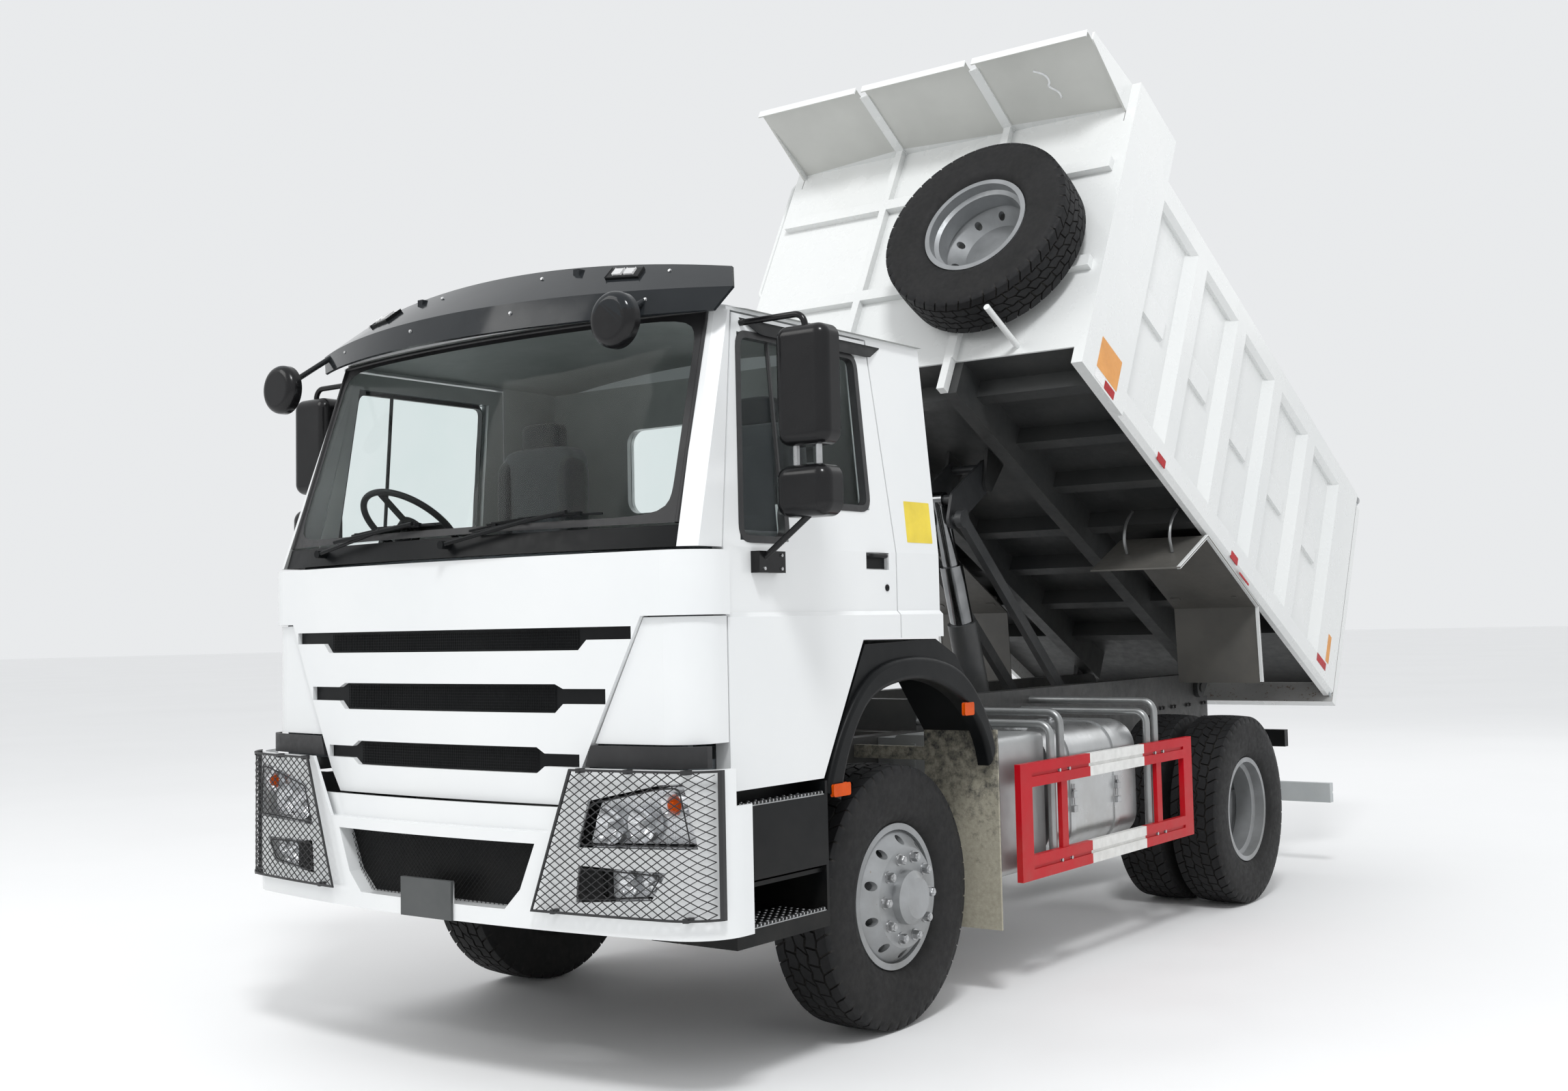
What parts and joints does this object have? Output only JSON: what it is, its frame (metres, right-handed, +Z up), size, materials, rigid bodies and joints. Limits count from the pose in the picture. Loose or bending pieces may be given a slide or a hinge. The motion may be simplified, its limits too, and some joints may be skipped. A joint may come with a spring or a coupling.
{
  "type": "dump truck",
  "caption": "Two-axle tipper truck with a forward-control cab, half-raised ribbed load body with canopy and spare wheel, twin rear wheels and a scissor hoist.",
  "frame": {"origin": "middle of the whole truck's footprint on the ground, load body in its half-raised resting pose", "axes": "+X to the truck's own left, +Y to its rear, +Z up"},
  "size_m": [3.0292, 7.7383, 4.7996],
  "materials": {
    "chassis_grey": "satin dusty chassis paint",
    "tank_aluminium": "brushed",
    "side_guard_red": "satin paint",
    "cab_paint": "gloss paint",
    "dark_plastic": "grained dark plastic",
    "bumper_paint": "gloss paint",
    "visor_plastic": "smoked plastic",
    "clear_glass": "clear glass",
    "lamp_lens": "clear lens",
    "guard_steel": "black paint",
    "seat_fabric": "woven",
    "rim_paint": "satin paint",
    "tyre_rubber": "matte rubber",
    "body_paint": "gloss paint",
    "body_steel": "worn paint",
    "hoist_steel": "satin paint",
    "chromed_steel": "polished"
  },
  "bodies": {
    "chassis": {"chassis_frame": "chassis_grey", "tipper_subframe": "chassis_grey", "front_axle": "chassis_grey", "rear_axle": "chassis_grey", "engine_block": "chassis_grey", "fuel_tank": "tank_aluminium", "battery_box": "chassis_grey", "air_tanks": "chassis_grey", "side_guards": "side_guard_red", "guard_brackets": "chassis_grey", "underrun_bar": "chassis_grey", "front_bumper": "bumper_paint", "lamps": "lamp_lens", "lamp_guards": "guard_steel", "step_boxes": "dark_plastic", "cab_floor": "dark_plastic", "cab_sides": "cab_paint", "cab_rear_wall": "cab_paint", "cab_roof": "cab_paint", "cab_glass": "clear_glass", "cowl": "dark_plastic", "sun_visor": "visor_plastic", "dashboard": "dark_plastic", "steering_wheel": "dark_plastic", "seats": "seat_fabric", "front_mudguards": "dark_plastic"},
    "front_lid": {"front_lid": "cab_paint", "grille": "dark_plastic"},
    "door_left": {"door_left": "cab_paint", "door_glass_left": "clear_glass", "mirror_left": "dark_plastic"},
    "door_right": {"door_right": "cab_paint", "door_glass_right": "clear_glass", "mirror_right": "dark_plastic"},
    "knuckle_left": {"knuckle_left": "chassis_grey"},
    "knuckle_right": {"knuckle_right": "chassis_grey"},
    "track_rod": {"track_rod": "chassis_grey"},
    "wheel_front_left": {"front_rim_left": "rim_paint", "front_tyre_left": "tyre_rubber"},
    "wheel_front_right": {"front_rim_right": "rim_paint", "front_tyre_right": "tyre_rubber"},
    "wheels_rear_left": {"rear_rims_left": "rim_paint", "rear_tyres_left": "tyre_rubber"},
    "wheels_rear_right": {"rear_rims_right": "rim_paint", "rear_tyres_right": "tyre_rubber"},
    "bed": {"bed_floor": "body_steel", "bed_sides": "body_paint", "bed_front_wall": "body_paint", "spare_rim": "rim_paint", "spare_tyre": "tyre_rubber", "bed_mudguards": "body_steel"},
    "tailgate": {"tailgate": "body_paint"},
    "hoist_cylinder": {"hoist_cylinder": "hoist_steel"},
    "hoist_stage": {"hoist_stage": "chromed_steel"},
    "hoist_rod": {"hoist_rod": "chromed_steel"},
    "lift_arm": {"lift_arm": "hoist_steel"},
    "tie_rods": {"tie_rods": "hoist_steel"}
  },
  "joints": [
    {"name": "bed_tilt", "type": "hinge", "parent": "chassis", "child": "bed", "pos_m": [0, 2.51083, 1.19], "axis": [-1, 0, 0], "range_deg": [-27.1, 17.9]},
    {"name": "tailgate_swing", "type": "hinge", "parent": "bed", "child": "tailgate", "pos_m": [0, 3.84217, 2.47455], "axis": [1, 0, 0], "range_deg": [0, 50]},
    {"name": "door_left_hinge", "type": "hinge", "parent": "chassis", "child": "door_left", "pos_m": [1.19, -3.50117, 1.96], "axis": [0, 0, -1], "range_deg": [0, 70]},
    {"name": "door_right_hinge", "type": "hinge", "parent": "chassis", "child": "door_right", "pos_m": [-1.19, -3.50117, 1.96], "axis": [0, 0, 1], "range_deg": [0, 70]},
    {"name": "front_lid_hinge", "type": "hinge", "parent": "chassis", "child": "front_lid", "pos_m": [0, -3.77417, 1.93], "axis": [-1, 0, 0], "range_deg": [0, 70]},
    {"name": "steer_left", "type": "hinge", "parent": "chassis", "child": "knuckle_left", "pos_m": [0.865, -2.29917, 0.5425], "axis": [0, 0, 1], "range_deg": [-35, 35]},
    {"name": "steer_right", "type": "hinge", "parent": "chassis", "child": "knuckle_right", "pos_m": [-0.865, -2.29917, 0.5425], "axis": [0, 0, 1], "range_deg": [-35, 35]},
    {"name": "track_rod_pivot", "type": "hinge", "parent": "knuckle_left", "child": "track_rod", "pos_m": [0.8, -2.08917, 0.4475], "axis": [0, 0, 1], "range_deg": [-35, 35]},
    {"name": "spin_front_left", "type": "hinge", "parent": "knuckle_left", "child": "wheel_front_left", "pos_m": [0.98, -2.29917, 0.5425], "axis": [1, 0, 0], "continuous": true},
    {"name": "spin_front_right", "type": "hinge", "parent": "knuckle_right", "child": "wheel_front_right", "pos_m": [-0.98, -2.29917, 0.5425], "axis": [1, 0, 0], "continuous": true},
    {"name": "spin_rear_left", "type": "hinge", "parent": "chassis", "child": "wheels_rear_left", "pos_m": [0.93, 1.30083, 0.5425], "axis": [1, 0, 0], "continuous": true},
    {"name": "spin_rear_right", "type": "hinge", "parent": "chassis", "child": "wheels_rear_right", "pos_m": [-0.93, 1.30083, 0.5425], "axis": [1, 0, 0], "continuous": true},
    {"name": "lift_arm_pivot", "type": "hinge", "parent": "bed", "child": "lift_arm", "pos_m": [0, 0.28121, 2.46575], "axis": [-1, 0, 0], "range_deg": [-40, 60.5]},
    {"name": "tie_rods_pivot", "type": "hinge", "parent": "chassis", "child": "tie_rods", "pos_m": [0, 1.10083, 1.183], "axis": [-1, 0, 0], "range_deg": [-38.6, 25.6]},
    {"name": "hoist_cylinder_pivot", "type": "hinge", "parent": "chassis", "child": "hoist_cylinder", "pos_m": [0, 0.40083, 0.9], "axis": [-1, 0, 0], "range_deg": [-36.5, 24.2]},
    {"name": "hoist_stage_slide", "type": "slide", "parent": "hoist_cylinder", "child": "hoist_stage", "axis": [0, -0.3005, 0.9538], "range_m": [-0.315, 0.2085]},
    {"name": "hoist_rod_slide", "type": "slide", "parent": "hoist_stage", "child": "hoist_rod", "axis": [0, -0.3005, 0.9538], "range_m": [-0.315, 0.2085]}
  ],
  "couplings": [
    {"joint": "steer_right", "follows": "steer_left", "ratio": 1},
    {"joint": "track_rod_pivot", "follows": "steer_left", "ratio": -1},
    {"joint": "lift_arm_pivot", "follows": "bed_tilt", "ratio": -2.2187},
    {"joint": "tie_rods_pivot", "follows": "bed_tilt", "ratio": 1.4201},
    {"joint": "hoist_cylinder_pivot", "follows": "bed_tilt", "ratio": 1.3419},
    {"joint": "hoist_stage_slide", "follows": "bed_tilt", "m_per_rad": 0.6632},
    {"joint": "hoist_rod_slide", "follows": "bed_tilt", "m_per_rad": 0.6632}
  ]
}
